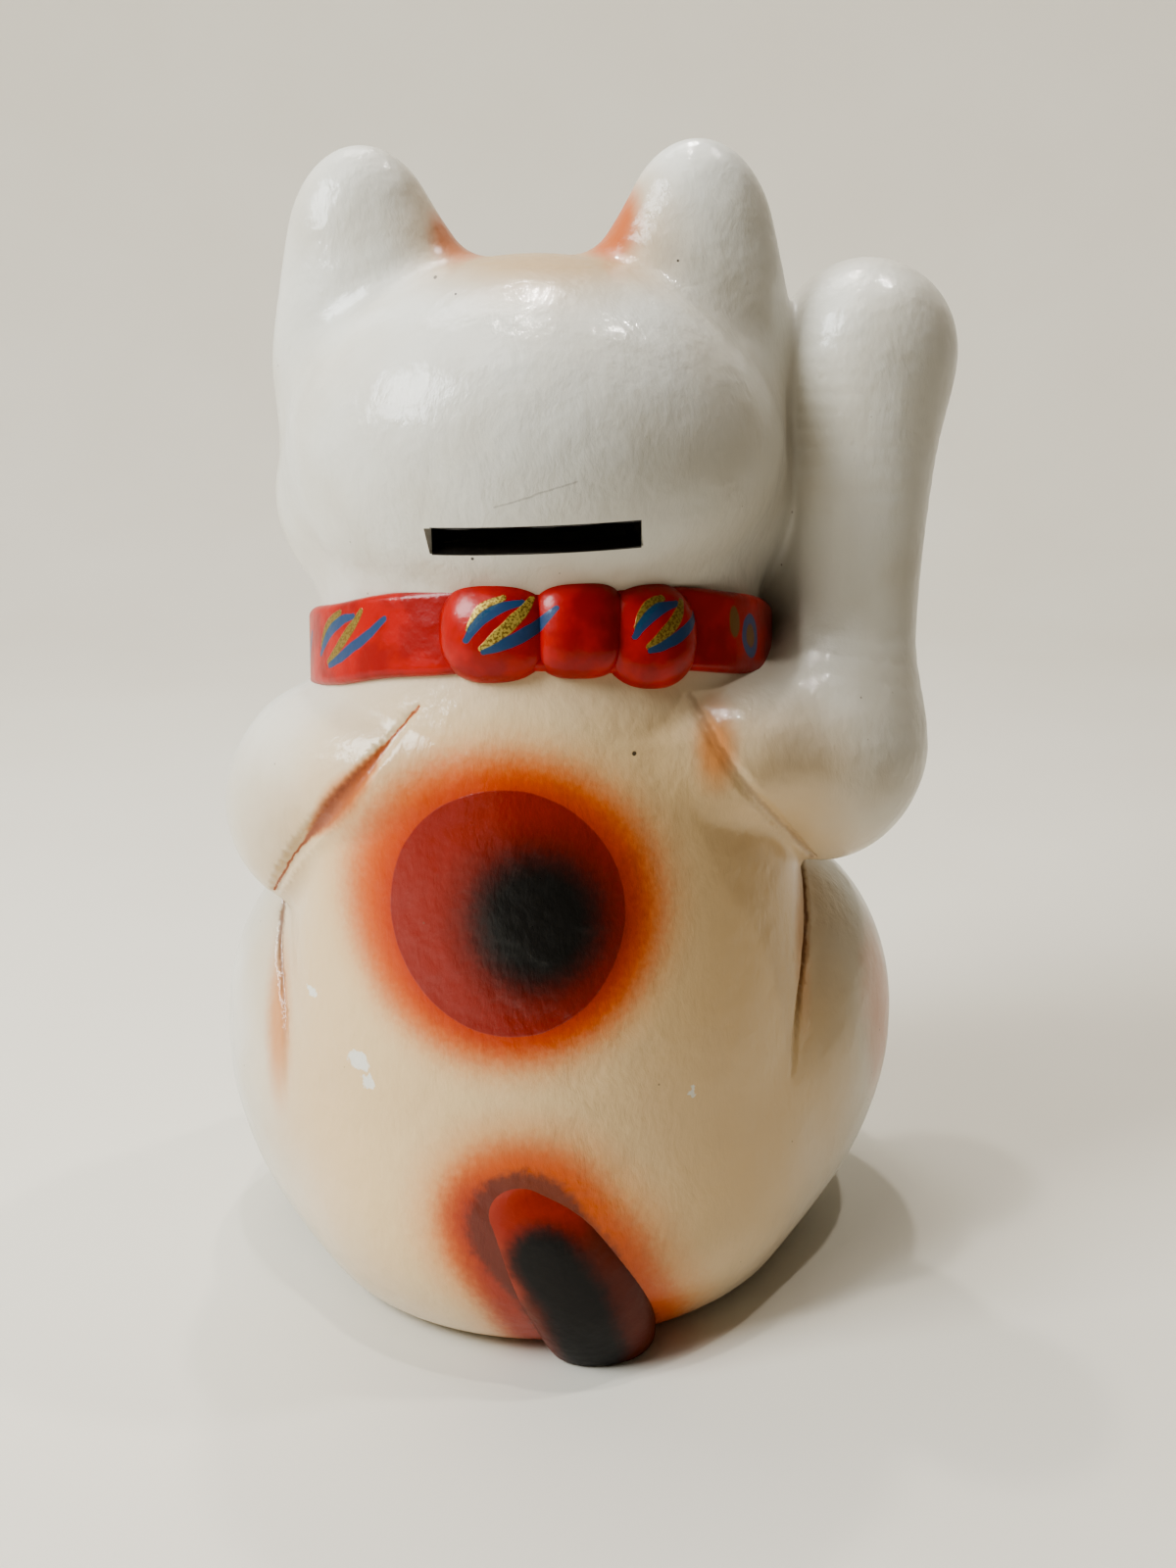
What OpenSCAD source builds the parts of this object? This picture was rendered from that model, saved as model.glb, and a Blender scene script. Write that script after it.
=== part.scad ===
// Beckoning cat coin bank: a seated ceramic cat with its right paw raised.
// The cat faces -Y and stands on z = 0, with the axis of its body on the Z axis.

/* [Torso] */
// Width of the belly casting, without the haunches
belly_w = 126; // [105:1:152]
// Depth of the belly casting
belly_d = 124; // [103:1:149]
// Height of the neck seam on the body's axis
neck_z = 142; // [128:1:172]
// Width of the neck
neck_w = 97; // [78:1:113]
// Depth of the neck
neck_d = 86; // [76:1:100]
// Width over both haunches
haunch_w = 164; // [146:1:176]
// Height of the haunches
haunch_h = 92; // [76:1:111]
// Thickness of the cast wall
wall = 5; // [3:0.5:7]

/* [Head] */
// Width of the face over the cheeks
head_w = 119; // [99:1:143]
// Depth of the skull
head_d = 100; // [88:1:116]
// Height of the skull
head_h = 84; // [74:1:96]
// Height of the skull's middle above the neck seam
head_rise = 44; // [40:1:50]
// Height of the ears above the top of the skull
ear_h = 22; // [14:1:28]
// Distance between the tips of the ears
ear_gap = 72; // [64:1:78]
// Width of an ear
ear_w = 38; // [32:1:42]
// Thickness of an ear, front to back
ear_t = 28; // [24:1:34]

/* [Coin slot] */
// Length of the coin slot
slot_w = 41; // [30:1:50]
// Height of the coin slot
slot_h = 5; // [4.5:0.1:7]
// Height of the coin slot below the skull's middle
slot_drop = 13; // [8:1:16]

/* [Forelegs] */
// Diameter of the upper part of a foreleg
shoulder_d = 50; // [42:1:56]
// Diameter of the raised foreleg above its elbow
forearm_d = 30; // [26:1:34]
// Diameter of the raised paw
paw_d = 39; // [34:1:44]
// Distance of the raised foreleg's middle from the side of the face
raised_gap = 13.5; // [10:0.5:18]
// Height of the raised paw's tip below the tips of the ears
raised_drop = 26; // [10:1:40]
// Diameter of the paw that holds the coin
held_paw_d = 28; // [22:1:32]

/* [Hind paws and tail] */
// Length of a hind paw
foot_l = 44; // [36:1:52]
// Width of a hind paw
foot_w = 34; // [28:1:38]
// Height of a hind paw
foot_h = 27; // [22:1:32]
// Distance between the middles of the hind paws
foot_gap = 76; // [60:1:90]
// Length of the tail
tail_l = 52; // [40:1:60]
// Width of the tail
tail_w = 21; // [16:1:26]
// How far the tail stands out of the back
tail_t = 6; // [4:1:9]

/* [Collar] */
// Height of the collar
collar_h = 18; // [14:1:22]
// Thickness of the collar
collar_t = 3.5; // [2:0.1:5]
// Slope of the collar, down to the front
collar_tilt = 16; // [8:1:20]
// Width of each part of the bow
bow_w = 20; // [16:1:24]
// Height of the bow
bow_h = 22; // [18:1:26]
// How far the bow stands out of the collar
bow_t = 4; // [3:0.5:6]
// Distance of the bow's middle from the middle of the back
bow_shift = 8; // [0:1:12]

/* [Bell and coin] */
// Diameter of the bell
bell_d = 20; // [16:1:24]
// Width of the oval coin
koban_w = 36; // [28:1:44]
// Height of the oval coin
koban_h = 54; // [44:1:60]
// Thickness of the oval coin
koban_t = 6; // [4:0.5:8]

/* [Stopper] */
// Diameter of the hole in the base
hole_d = 38; // [31:1:46]
// Clearance between the stopper and its hole, on the radius
stopper_fit = 0.05; // [0.02:0.01:0.1]
// Width of the stopper's flange round the hole
flange_rim = 5; // [3:0.5:8]
// Thickness of the stopper's flange
flange_t = 2; // [1.5:0.5:3]
// Depth of the hollow under the base
recess_h = 4; // [3.5:0.5:6]
// Width of the ring that the figurine stands on
ring_w = 10; // [6:1:16]

/* [Hidden] */

// How sharply neighbouring lumps of a casting run into each other
blend_power = 14;
// Steps round and along the outside and the inside of a casting
skin_sides = 60;
skin_rows = 28;
core_sides = 30;
core_rows = 14;
// Steps along a foreleg, and round a ball of it
limb_steps = 12;
ball_sides = 22;
// Steps round the collar
collar_steps = 40;

back_y = 4;
belly_z = 52;
belly_rise = 95;
haunch_r = 33;
haunch_x = haunch_w / 2 - haunch_r;
base_share = sqrt(1 - pow(belly_z / belly_rise, 2));
recess_d = min(belly_w, belly_d) * base_share - 2 * ring_w;
head_z = neck_z + head_rise;
ear_top = head_z + head_h / 2 + ear_h;
shoulder_z = neck_z - 16;
elbow_z = shoulder_z - 8;
paw_z = ear_top - raised_drop - paw_d / 2;
raised_x = head_w / 2 + raised_gap;

// Each lump of a casting is an ellipsoid: its centre, and its three radii
neck_lump = [[0, 0, neck_z - 17], [neck_w / 2 + 3, neck_d / 2 + 3, 55]];
torso_lumps = [
    [[0, back_y, belly_z], [belly_w / 2, belly_d / 2, belly_rise]],
    [[0, back_y + 1, 25], [belly_w / 2 - 1, belly_d / 2, 34]],
    [[haunch_x, -12, haunch_h / 2 + 4], [haunch_r, 40, haunch_h / 2 - 2]],
    [[-haunch_x, -12, haunch_h / 2 + 4], [haunch_r, 40, haunch_h / 2 - 2]],
    neck_lump
];
skull_lumps = [
    [[0, 2, head_z], [head_w / 2 - 5, head_d / 2, head_h / 2]],
    [[0, -12, head_z - 10], [head_w / 2, head_d / 2 - 10, head_h / 2 - 2]],
    [[0, 0, neck_z + 6], [neck_w / 2, neck_d / 2, 34]]
];
muzzle_lump = [[0, -head_d / 2 + 8, head_z - 20], [19, 14, 12]];
function ear_lumps(side) = [
    [[side * ear_gap / 2, -2, ear_top - 25], [ear_w / 2 - 1, ear_t / 2, 25]],
    [[side * (ear_gap / 2 - 10), -2, ear_top - 38], [ear_w / 2 - 1, ear_t / 2, 22]],
    [[side * ear_gap / 2, -4, ear_top - 46], [ear_w / 2 + 2, ear_t / 2 + 4, 26]]
];
head_lumps = concat(skull_lumps, [muzzle_lump], ear_lumps(1), ear_lumps(-1));

function divide(a, b) = [for (i = [0:2]) a[i] / b[i]];

// Distance from p along d to the far side of a lump, or 0 where the ray misses it
function reach(p, d, lump) =
    let (
        start = divide(p - lump[0], lump[1]),
        step = divide(d, lump[1]),
        along = start * step,
        inside = along * along - (step * step) * (start * start - 1)
    )
    inside <= 0 ? 0 : max(0, (sqrt(inside) - along) / (step * step));

// Distance from p along d to the blended outside of all the lumps
function outside(p, d, lumps) =
    let (powers = [for (lump = lumps) pow(reach(p, d, lump), blend_power)])
    pow(powers * [for (lump = lumps) 1], 1 / blend_power);

function torso_ring(z, sides, inset) = [
    for (i = [0:sides - 1])
    let (a = i * 360 / sides, d = [cos(a), sin(a), 0])
    [0, 0, z] + d * (outside([0, 0, z], d, torso_lumps) - inset)
];

function head_ring(tilt, sides, lumps, inset) = [
    for (i = [0:sides - 1])
    let (a = i * 360 / sides, d = [cos(a) * cos(tilt), sin(a) * cos(tilt), sin(tilt)])
    [0, 0, head_z] + d * (outside([0, 0, head_z], d, lumps) - inset)
];

// Closed solid through a stack of rings with equal numbers of points
module skin(rings) {
    sides = len(rings[0]);
    rows = len(rings);
    polyhedron(
        points = [for (ring = rings) each ring],
        faces = concat(
            [[for (i = [0:sides - 1]) i]],
            [
                for (row = [0:rows - 2])
                for (i = [0:sides - 1])
                let (a = row * sides + i, b = row * sides + (i + 1) % sides)
                each [[a, a + sides, b], [b, a + sides, b + sides]]
            ],
            [[for (i = [sides - 1:-1:0]) (rows - 1) * sides + i]]
        )
    );
}

module torso_outside() {
    top = neck_z + 25;
    skin([for (row = [0:skin_rows]) torso_ring(top * row / skin_rows, skin_sides, 0)]);
}

module torso_inside() {
    floor_z = recess_h + wall;
    top = neck_z + 30;
    skin([
        for (row = [0:core_rows])
        torso_ring(floor_z + (top - floor_z) * row / core_rows, core_sides, wall)
    ]);
}

module head_outside() {
    skin([for (row = [0:skin_rows]) head_ring(-88 + 176 * row / skin_rows, skin_sides, head_lumps, 0)]);
}

module head_inside() {
    skin([for (row = [0:core_rows]) head_ring(-88 + 176 * row / core_rows, core_sides, skull_lumps, wall)]);
}

// Places its children in the plane of the neck seam
module at_neck() {
    translate([0, 0, neck_z]) rotate([collar_tilt, 0, 0]) children();
}

// Everything above the neck seam
module above_neck() {
    at_neck() translate([-150, -150, 0]) cube([300, 300, 200]);
}

// Everything below the neck seam
module below_neck() {
    at_neck() translate([-150, -150, -200]) cube([300, 300, 200]);
}

module torso() {
    color("ivory") difference() {
        torso_outside();
        above_neck();
        torso_inside();
        translate([0, 0, -1]) cylinder(d = hole_d, h = recess_h + wall + 2, $fn = 96);
        translate([0, back_y, -1]) cylinder(d = recess_d, h = recess_h + 1, $fn = 120);
    }
}

module head() {
    color("white") difference() {
        head_outside();
        below_neck();
        head_inside();
        translate([-slot_w / 2, 0, head_z - slot_drop - slot_h / 2]) cube([slot_w, head_d, slot_h]);
    }
}

// Position and radius at t (0 to 1) of a limb through stations of [x, y, z, radius]
function bezier(points, t) =
    len(points) == 1
        ? points[0]
        : bezier([for (i = [0:len(points) - 2]) points[i] * (1 - t) + points[i + 1] * t], t);

module ball(station) {
    translate([station[0], station[1], station[2]]) sphere(r = station[3], $fn = ball_sides);
}

module limb(stations) {
    for (i = [0:limb_steps - 1]) {
        hull() {
            ball(bezier(stations, i / limb_steps));
            ball(bezier(stations, (i + 1) / limb_steps));
        }
    }
}

// How far the chest stands in front of the body's axis at a height
function chest_y(z) = outside([0, 0, z], [0, -1, 0], torso_lumps);

module castings() {
    torso_outside();
    head_outside();
}

raised_upper = [
    [-34, 16, shoulder_z + 4, shoulder_d / 2 - 7],
    [-50, 16, shoulder_z, shoulder_d / 2 - 2],
    [-raised_x + 12, 8, elbow_z + 2, shoulder_d / 2 - 1]
];
raised_lower = [
    [-raised_x + 11, 6, elbow_z + 3, shoulder_d / 2 - 2],
    [-raised_x + 1, 0, elbow_z + 30, forearm_d / 2 - 1],
    [-raised_x, -6, paw_z - 20, forearm_d / 2],
    [-raised_x, -10, paw_z, paw_d / 2 + 2],
    [-raised_x, -12, paw_z, paw_d / 2]
];
held_paw_z = elbow_z - 16;
held_upper = [
    [34, 18, shoulder_z - 4, shoulder_d / 2 - 9],
    [44, 12, shoulder_z - 8, shoulder_d / 2 - 2],
    [52, 4, elbow_z - 12, shoulder_d / 2 - 5]
];
held_lower = [
    [52, 2, elbow_z - 12, shoulder_d / 2 - 6],
    [60, -30, elbow_z - 15, held_paw_d / 2 + 1],
    [34, -50, held_paw_z, held_paw_d / 2 - 1],
    [16, -chest_y(held_paw_z) - 4, held_paw_z, held_paw_d / 2]
];

module raised_arm() {
    color("white") difference() {
        union() {
            limb(raised_upper);
            limb(raised_lower);
        }
        castings();
        collar_outside();
    }
}

module left_arm() {
    color("white") difference() {
        union() {
            limb(held_upper);
            limb(held_lower);
        }
        castings();
        collar_outside();
        koban_outside();
    }
}

// Hind paw with three toes, side = 1 for the cat's left
module foot(side) {
    toe_r = foot_w / 5;
    heel_r = foot_h / 2;
    front = -belly_d / 2 - 8;
    difference() {
        for (i = [-1:1]) {
            hull() {
                translate([side * foot_gap / 2 + i * (foot_w / 2 - toe_r), front + abs(i) * 3 + toe_r, 0]) {
                    translate([0, 0, toe_r + 1]) sphere(r = toe_r, $fn = ball_sides);
                    cylinder(r = toe_r * 0.8, h = 1, $fn = ball_sides);
                }
                translate([side * foot_gap / 2 + i * (foot_w / 2 - heel_r), front + foot_l - heel_r, 0]) {
                    translate([0, 0, foot_h - heel_r]) sphere(r = heel_r, $fn = ball_sides);
                    cylinder(r = heel_r * 0.8, h = 1, $fn = ball_sides);
                }
            }
        }
        torso_outside();
    }
}

module left_foot() {
    color("white") foot(1);
}

module right_foot() {
    color("white") foot(-1);
}

// Point of the back at a height, and at a distance to one side of its middle
function on_back(x, z) =
    let (y = outside([x, 0, z], [0, 1, 0], torso_lumps))
    [x, y, z];

module tail() {
    top = [4, 46];
    lean = 24;
    r = tail_w / 2;
    color("sienna") difference() {
        for (i = [0:limb_steps - 1]) {
            hull() {
                for (k = [0:1]) {
                    along = r + (tail_l - 2 * r) * (i + k) / limb_steps;
                    p = on_back(top[0] - along * sin(lean), max(top[1] - along * cos(lean), r * 0.9));
                    translate(p - [0, r - tail_t, 0]) sphere(r = r, $fn = ball_sides);
                }
            }
        }
        torso_outside();
        translate([-100, 0, -20]) cube([200, 200, 20]);
    }
}

// Outline of the neck, pushed out by a distance
function collar_ring(z, out) = [
    for (i = [0:collar_steps - 1])
    let (a = i * 360 / collar_steps)
    [(neck_w / 2 + out) * cos(a), (neck_d / 2 + out) * sin(a), z]
];

// The collar as a solid disc with rounded edges, before the neck is taken out of it
module collar_outside() {
    edge = collar_t / 3;
    at_neck() skin([
        collar_ring(-collar_h / 2, collar_t - edge),
        collar_ring(-collar_h / 2 + edge, collar_t),
        collar_ring(collar_h / 2 - edge, collar_t),
        collar_ring(collar_h / 2, collar_t - edge)
    ]);
}

module collar_band() {
    color("firebrick") difference() {
        collar_outside();
        castings();
    }
}

// One padded part of the bow, at a number of part widths from the bow's middle
module bow_pad(place, w, h) {
    a = 90 + (bow_shift + place * bow_w * 0.93) / (neck_w / 2 + collar_t) * 180 / PI;
    at_neck()
        translate([(neck_w / 2 + collar_t - 3) * cos(a), (neck_d / 2 + collar_t - 3) * sin(a), 0])
        rotate([0, 0, a])
        hull() {
            for (y = [-1, 1], z = [-1, 1]) {
                translate([0, y * (w / 2 - 6), z * (h / 2 - 7)]) scale([(bow_t + 3) / 7, 6 / 7, 1])
                    sphere(r = 7, $fn = ball_sides);
            }
        }
}

module knot_pad() {
    bow_pad(0, bow_w * 0.86, bow_h - 1);
}

module bow_knot() {
    color("firebrick") difference() {
        knot_pad();
        collar_outside();
        castings();
    }
}

module bow_loop(place) {
    difference() {
        bow_pad(place, bow_w, bow_h);
        knot_pad();
        collar_outside();
        castings();
    }
}

module bow_loop_left() {
    color("firebrick") bow_loop(-1);
}

module bow_loop_right() {
    color("firebrick") bow_loop(1);
}

bell_y = -neck_d / 2 - collar_t - bell_d / 2 + 4;
bell_z = neck_z + bell_y * tan(collar_tilt) - 3;

module bell() {
    color("gold") difference() {
        translate([0, bell_y, bell_z]) {
            sphere(d = bell_d, $fn = 48);
            rotate([90, 0, 0]) rotate_extrude($fn = 48) translate([bell_d / 2 - 0.6, 0]) circle(d = 2, $fn = 24);
        }
        collar_outside();
        castings();
    }
}

// Places its children flat against the chest, under the left paw
module at_koban() {
    z = held_paw_z - koban_h / 2 + 1;
    step = koban_h / 4;
    lean = atan((chest_y(z - step) - chest_y(z + step)) / (2 * step));
    translate([4, 1 - chest_y(z), z]) rotate([90 - lean, 0, 0]) children();
}

module koban_outline(inset) {
    sides = 48;
    polygon([
        for (i = [0:sides - 1])
        let (a = i * 360 / sides)
        [(koban_w / 2 - inset) * cos(a), (koban_h / 2 - inset) * sin(a)]
    ]);
}

module koban_outside() {
    at_koban() linear_extrude(height = koban_t) koban_outline(0);
}

// Oval coin with a raised rim
module koban() {
    color("goldenrod") difference() {
        koban_outside();
        at_koban() translate([0, 0, koban_t - 1]) linear_extrude(height = 2) koban_outline(2.5);
        torso_outside();
    }
}

module stopper() {
    color("dimgray") {
        translate([0, 0, recess_h]) cylinder(d = hole_d - 2 * stopper_fit, h = wall + 3, $fn = 96);
        translate([0, 0, recess_h - flange_t]) cylinder(d = hole_d + 2 * flange_rim, h = flange_t, $fn = 96);
    }
}

torso();
head();
raised_arm();
left_arm();
left_foot();
right_foot();
tail();
collar_band();
bow_loop_left();
bow_knot();
bow_loop_right();
bell();
koban();
stopper();
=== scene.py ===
import math
import bpy
import numpy as np
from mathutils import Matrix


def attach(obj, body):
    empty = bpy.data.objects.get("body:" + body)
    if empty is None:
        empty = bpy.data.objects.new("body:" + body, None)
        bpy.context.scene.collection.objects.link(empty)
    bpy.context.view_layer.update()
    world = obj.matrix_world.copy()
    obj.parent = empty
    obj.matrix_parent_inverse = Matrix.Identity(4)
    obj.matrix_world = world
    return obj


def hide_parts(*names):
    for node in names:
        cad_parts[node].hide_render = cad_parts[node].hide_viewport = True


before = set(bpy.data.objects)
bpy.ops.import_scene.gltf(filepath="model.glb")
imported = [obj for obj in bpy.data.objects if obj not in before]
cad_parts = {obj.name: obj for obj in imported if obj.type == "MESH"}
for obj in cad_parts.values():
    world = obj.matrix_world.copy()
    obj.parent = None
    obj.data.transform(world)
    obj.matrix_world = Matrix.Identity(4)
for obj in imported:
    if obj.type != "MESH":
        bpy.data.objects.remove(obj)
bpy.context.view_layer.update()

import openvdb
from mathutils import Matrix, Vector

# The cat faces -Y, its raised right paw is on the -X side, and every shape below is in millimetres.
MM = 0.001


# ---------------------------------------------------------------- camera

def add_camera():
    """Camera behind the cat and a touch to its right, level with its ears, looking down, rolled a little"""
    data = bpy.data.cameras.new("camera")
    data.sensor_fit = "VERTICAL"
    data.sensor_height = 34.6
    data.lens = 36.0
    camera = bpy.data.objects.new("camera", data)
    bpy.context.collection.objects.link(camera)
    down = math.radians(16)
    roll = math.radians(-1.2)
    turn = Matrix.Rotation(math.pi, 4, "Z") @ Matrix.Rotation(math.pi / 2 - down, 4, "X")
    camera.matrix_world = (
        Matrix.Translation(Vector((-9.8, 364.0, 214.0)) * MM) @ turn @ Matrix.Rotation(roll, 4, "Z")
    )
    bpy.context.scene.camera = camera


add_camera()


# ---------------------------------------------------------------- shapes as distance fields

def smooth_step(low, high, value):
    t = np.clip((value - low) / (high - low), 0, 1)
    return t * t * (3 - 2 * t)


def merge(a, b, soft):
    """Union of two fields, with a fillet of about this size"""
    h = np.maximum(soft - np.abs(a - b), 0) / soft
    return np.minimum(a, b) - h * h * soft / 4


def cut(a, b, soft):
    """Field a with field b taken away, with a rounded edge"""
    return -merge(-a, b, soft)


def ellipsoid(p, centre, radii):
    x = (p[0] - centre[0]) / radii[0]
    y = (p[1] - centre[1]) / radii[1]
    z = (p[2] - centre[2]) / radii[2]
    k0 = np.sqrt(x * x + y * y + z * z)
    k1 = np.sqrt((x / radii[0]) ** 2 + (y / radii[1]) ** 2 + (z / radii[2]) ** 2)
    return k0 * (k0 - 1) / np.maximum(k1, 1e-6)


def along(stations, t):
    """Point on a smooth curve through stations, from t = 0 at the first to t = 1 at the last"""
    points = np.array([stations[0], *stations, stations[-1]], float)
    place = t * (len(stations) - 1)
    i = min(int(place), len(stations) - 2)
    u = place - i
    a, b, c, d = points[i:i + 4]
    return 0.5 * (2 * b + (c - a) * u + (2 * a - 5 * b + 4 * c - d) * u**2 + (3 * b - a - 3 * c + d) * u**3)


def rounded(u, v, edge):
    """Field of a bar from the distances past its two pairs of sides, with edges of this radius"""
    return np.hypot(np.maximum(u, 0), np.maximum(v, 0)) + np.minimum(np.maximum(u, v), 0) - edge


def limb(p, stations, steps=24):
    """Round limb through stations of (x, y, z, radius)"""
    nodes = [along(stations, i / steps) for i in range(steps + 1)]
    field = np.full(p[0].shape, 1e9)
    for a, b in zip(nodes, nodes[1:]):
        d = b[:3] - a[:3]
        t = sum((p[i] - a[i]) * d[i] for i in range(3)) / max(d @ d, 1e-9)
        t = np.clip(t, 0, 1)
        gap = sum((p[i] - a[i] - t * d[i]) ** 2 for i in range(3))
        field = np.minimum(field, np.sqrt(gap) - a[3] - t * (b[3] - a[3]))
    return field


# The collar's plane crosses the axis at NECK_Z and slopes down to the front; the neck there is an ellipse
NECK_Z = 142.0
NECK_TILT = math.radians(16)
NECK_HALF_W = 48.5
NECK_HALF_D = 43.0
COLLAR_T = 3.5
COLLAR_H = 18.0
ARC_R = 50.0  # radius that turns an angle round the collar into an arc length


def above_neck(p):
    """Height above the sloping plane of the neck seam"""
    return (p[2] - NECK_Z - p[1] * math.tan(NECK_TILT)) * math.cos(NECK_TILT)


def collar_place(p):
    """Arc from the middle of the back, height over the collar's plane, and distance out of the neck"""
    y = p[1] * math.cos(NECK_TILT) + (p[2] - NECK_Z) * math.sin(NECK_TILT)
    height = -p[1] * math.sin(NECK_TILT) + (p[2] - NECK_Z) * math.cos(NECK_TILT)
    share = np.hypot(p[0] / NECK_HALF_W, y / NECK_HALF_D)
    out = np.hypot(p[0], y) * (1 - 1 / np.maximum(share, 0.2))
    arc = ARC_R * np.arctan2(p[0] / NECK_HALF_W, y / NECK_HALF_D)
    return arc, height, out


def inside_box(field, p, low, high, change):
    """Applies change(field, points) to the points inside a box only, which saves time on small details"""
    within = np.all([(p[i] > low[i]) & (p[i] < high[i]) for i in range(3)], axis=0)
    if within.any():
        field[within] = change(field[within], p[:, within])
    return field


def torso(p):
    belly = ellipsoid(p, (0, 4, 52), (62, 62, 95))
    seat = ellipsoid(p, (0, 6, 25), (62, 62, 34))
    chest = ellipsoid(p, (0, 0, 125), (50, 45, 55))
    field = merge(merge(belly, seat, 15), chest, 30)
    haunches = np.minimum(
        ellipsoid(p, (46.5, -12, 50), (33, 40, 44)),
        ellipsoid(p, (-49, -12, 50), (34, 40, 44)),
    )
    crease = 3 + 19 * smooth_step(80, 40, p[2])
    return cut(merge(field, haunches, crease), p[2], 6)


def ear(p, side):
    tip = ellipsoid(p, (side * 35.5, -3, 225), (17, 12.5, 24.5))
    inner = ellipsoid(p, (side * 27, -2, 211), (18.5, 14, 22))
    outer = ellipsoid(p, (side * 37, -7, 203), (20.5, 17, 28))
    hollow = ellipsoid(p, (side * 34, -19, 219), (9.5, 8, 17))
    return cut(merge(merge(tip, inner, 8), outer, 8), hollow, 3)


EYE = (21, -44, 187)
NOSE = (0, -57.5, 173)
MOUTH = [
    (0, -58.3, 169.3), (0, -58, 166), (2, -57.9, 163.8),
    (5, -57.8, 162.4), (8, -58, 162.6), (11.2, -58.2, 164.4),
]
RAISED_PAW_X = -73
HIND_PAW_X = 38


def face_details(field, p):
    """Eyelids, muzzle, nose and the line of the mouth"""
    eyes = np.minimum(*(ellipsoid(p, (side * EYE[0], EYE[1], EYE[2]), (9.5, 7, 8.5)) for side in (1, -1)))
    field = merge(field, eyes, 4)
    pads = np.minimum(*(ellipsoid(p, (side * 7.5, -48, 166.5), (11, 10.5, 8.5)) for side in (1, -1)))
    field = merge(field, pads, 4)
    field = merge(field, ellipsoid(p, NOSE, (4.6, 3.4, 2.8)), 1.5)
    for side in (1, -1):
        line = [(side * x, y, z, 0.9) for x, y, z in MOUTH]
        field = cut(field, limb(p, line, 8), 1)
    return field


def head(p):
    back = ellipsoid(p, (0, 2, 186), (54, 50, 41))
    face = ellipsoid(p, (0, -12, 176), (59.5, 40, 40))
    field = merge(back, face, 5)
    field = merge(field, ellipsoid(p, (0, -44, 168), (20, 12, 12)), 10)
    neck = ellipsoid(p, (0, 0, 148), (48, 42, 34))
    field = merge(field, neck, 8)
    field = merge(field, np.minimum(ear(p, 1), ear(p, -1)), 6)
    return inside_box(field, p, (-40, -75, 150), (40, -30, 205), face_details)


def paw_toes(field, p):
    """Two shallow furrows between the toes on the front of the raised paw"""
    for side in (1, -1):
        outer = RAISED_PAW_X + side * 6
        line = [(outer, -32, 203, 1.4), (outer + side * 0.5, -30, 212, 1.8), (outer, -23, 222, 1.4)]
        field = cut(field, limb(p, line, 6), 2)
    return field


def raised_arm(p):
    elbow = ellipsoid(p, (-62, 6, 117), (21.5, 26, 23.5))
    shoulder = ellipsoid(p, (-41, 16, 124), (21, 25, 17))
    web = ellipsoid(p, (-59, -15, 156), (12, 13, 25))
    lower = limb(p, [
        (-66, 4, 122, 18.5), (-70.3, 0, 150, 14.3), (-71.8, -6, 183, 16.8),
        (-73.3, -10, 203, 20.0), (-73.3, -12, 205, 19.6),
    ])
    field = merge(merge(elbow, shoulder, 12), merge(lower, web, 8), 12)
    return inside_box(field, p, (-95, -45, 190), (-50, -12, 230), paw_toes)


def left_arm(p):
    elbow = ellipsoid(p, (49.5, 7, 109.5), (22, 24, 25.5))
    shoulder = ellipsoid(p, (36, 18, 120), (19, 23, 16))
    lower = limb(p, [(52, 0, 106, 18), (56, -28, 102, 14.5), (36, -48, 101, 13.5), (16, -54, 102, 14)])
    field = merge(merge(elbow, shoulder, 12), lower, 10)
    for height in (98, 106):
        furrow = limb(p, [(14, -69, height, 1.2), (5, -65, height, 1.6), (1, -57, height, 1.2)], 6)
        field = cut(field, furrow, 2)
    return field


def hind_paw(p, side):
    middle = side * HIND_PAW_X
    field = limb(p, [(middle, -40, 14, 15), (middle, -58, 10, 11)], 2)
    for i in (-1, 0, 1):
        toe = limb(p, [(middle + i * 8, -44, 14, 9), (middle + i * 9.5, -62 + abs(i) * 2, 8, 8)], 2)
        field = merge(field, toe, 3)
    return np.maximum(field, -p[2])


WHITE_PIECES = {
    "head": head,
    "torso": torso,
    "raised_arm": raised_arm,
    "left_arm": left_arm,
    "left_foot": lambda p: hind_paw(p, 1),
    "right_foot": lambda p: hind_paw(p, -1),
}


def shoulder_fillet(p):
    """Fillet between an arm and the body: wide at the shoulder, narrow below it and at the collar"""
    return 3 + 12 * smooth_step(104, 122, p[2]) * (1 - smooth_step(130, 140, p[2]))


# The limbs: shape, box that holds each with room to spare, and fillet where it meets the rest
LIMBS = [
    (raised_arm, (-110, -60, 75), (0, 65, 250), shoulder_fillet),
    (left_arm, (-15, -90, 65), (95, 65, 165), shoulder_fillet),
    (lambda p: hind_paw(p, 1), (0, -95, -30), (75, -5, 50), lambda p: 3),
    (lambda p: hind_paw(p, -1), (-75, -95, -30), (0, -5, 50), lambda p: 3),
]


def collar_groove(field, p):
    """Room in the throat for the front of the collar"""
    _, height, out = collar_place(p)
    reach = 9 * smooth_step(-30, -8, p[1])
    return cut(field, np.maximum(np.abs(height) - COLLAR_H / 2 - 0.7, reach - out), 2.5)


def white_body(p):
    """The whole white figure, before its creases are cut"""
    field = inside_box(merge(torso(p), head(p), 6), p, (-58, -62, 108), (58, -8, 150), collar_groove)
    for shape, low, high, fillet in LIMBS:
        field = inside_box(field, p, low, high, lambda near, q: merge(near, shape(q), fillet(q)))
    return field


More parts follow.
